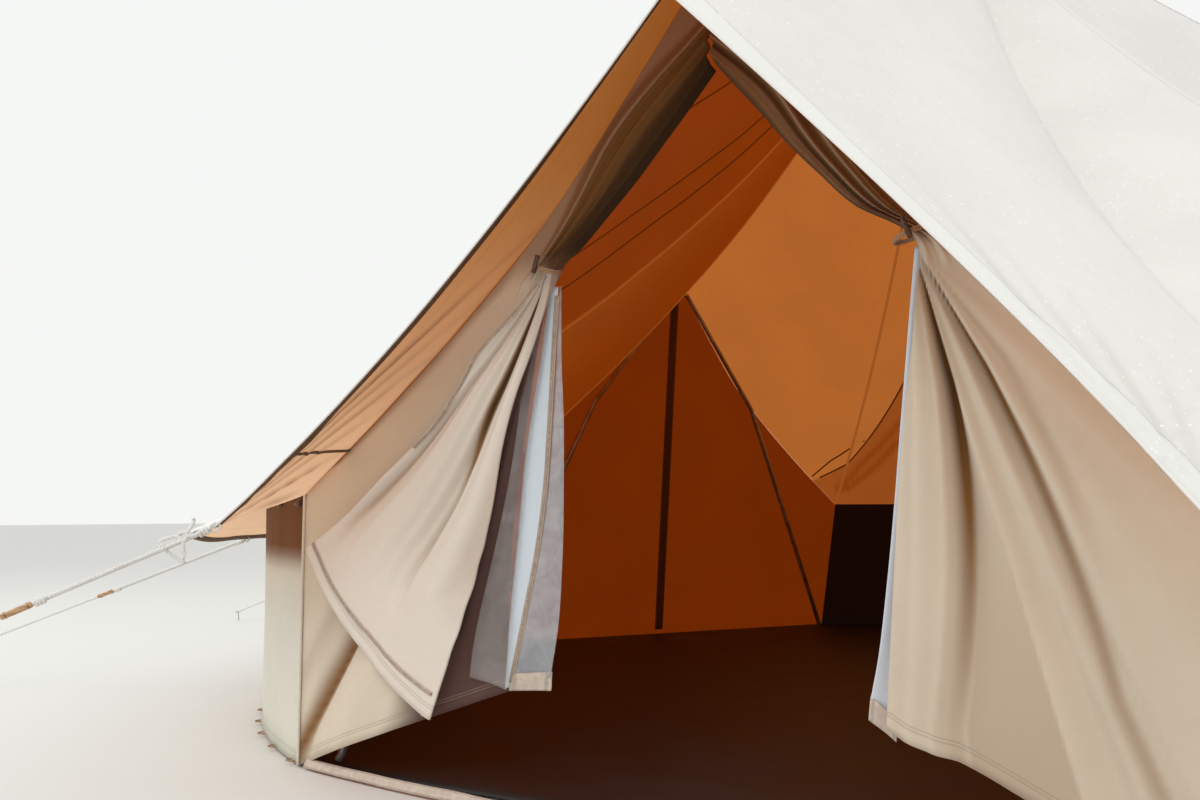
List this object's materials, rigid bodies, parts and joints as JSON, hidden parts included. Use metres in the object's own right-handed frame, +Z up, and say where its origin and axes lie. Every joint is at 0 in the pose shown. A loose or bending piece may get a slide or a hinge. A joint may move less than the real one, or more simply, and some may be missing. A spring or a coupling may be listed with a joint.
{
  "type": "canvas bell tent",
  "caption": "Round canvas tent with gabled doorways, a pointed roof with a skirt, low side walls, tied-back door leaves and taut guy lines.",
  "frame": {"origin": "centre of the underside of the groundsheet, straight below the centre pole", "axes": "+Z up, -Y out of the open front doorway, +X to the right of someone facing the front doorway"},
  "size_m": [9.208, 7.9241, 3.0585],
  "materials": {
    "roof_canvas": "matt cream poly-cotton canvas",
    "wall_canvas": "matt sand canvas",
    "door_canvas": "matt sand canvas",
    "insect_mesh": "fine white insect mesh",
    "floor_cloth": "heavy coated brown floor cloth",
    "cap_canvas": "matt reinforced canvas",
    "galvanised_steel": "galvanised tube",
    "white_rope": "white braided rope with a wooden slider"
  },
  "bodies": {
    "root": {"a_frame_front": "galvanised_steel", "a_frame_rear_left": "galvanised_steel", "a_frame_rear_right": "galvanised_steel", "centre_pole": "galvanised_steel", "door_rear_left_left": "door_canvas", "door_rear_left_right": "door_canvas", "door_rear_right_left": "door_canvas", "door_rear_right_right": "door_canvas", "front_door_leaf_left": "door_canvas", "front_door_leaf_right": "door_canvas", "front_gable_face_left": "wall_canvas", "front_gable_face_right": "wall_canvas", "front_mesh_door_left": "insect_mesh", "front_mesh_door_right": "insect_mesh", "groundsheet": "floor_cloth", "guy_front_left": "white_rope", "guy_front_right": "white_rope", "guy_rear": "white_rope", "guy_rear_left_left": "white_rope", "guy_rear_left_right": "white_rope", "guy_rear_right_left": "white_rope", "guy_rear_right_right": "white_rope", "guy_side_left": "white_rope", "guy_side_right": "white_rope", "peak_cap": "cap_canvas", "roof_gore_front_left": "roof_canvas", "roof_gore_front_right": "roof_canvas", "roof_gore_rear_left_left": "roof_canvas", "roof_gore_rear_left_right": "roof_canvas", "roof_gore_rear_right_left": "roof_canvas", "roof_gore_rear_right_right": "roof_canvas", "roof_panel_front_left": "roof_canvas", "roof_panel_front_right": "roof_canvas", "roof_panel_rear_left_left": "roof_canvas", "roof_panel_rear_left_right": "roof_canvas", "roof_panel_rear_right_left": "roof_canvas", "roof_panel_rear_right_right": "roof_canvas", "wall_front_left": "wall_canvas", "wall_front_right": "wall_canvas", "wall_rear_left_left": "wall_canvas", "wall_rear_left_right": "wall_canvas", "wall_rear_right_left": "wall_canvas", "wall_rear_right_right": "wall_canvas"}
  },
  "joints": []
}
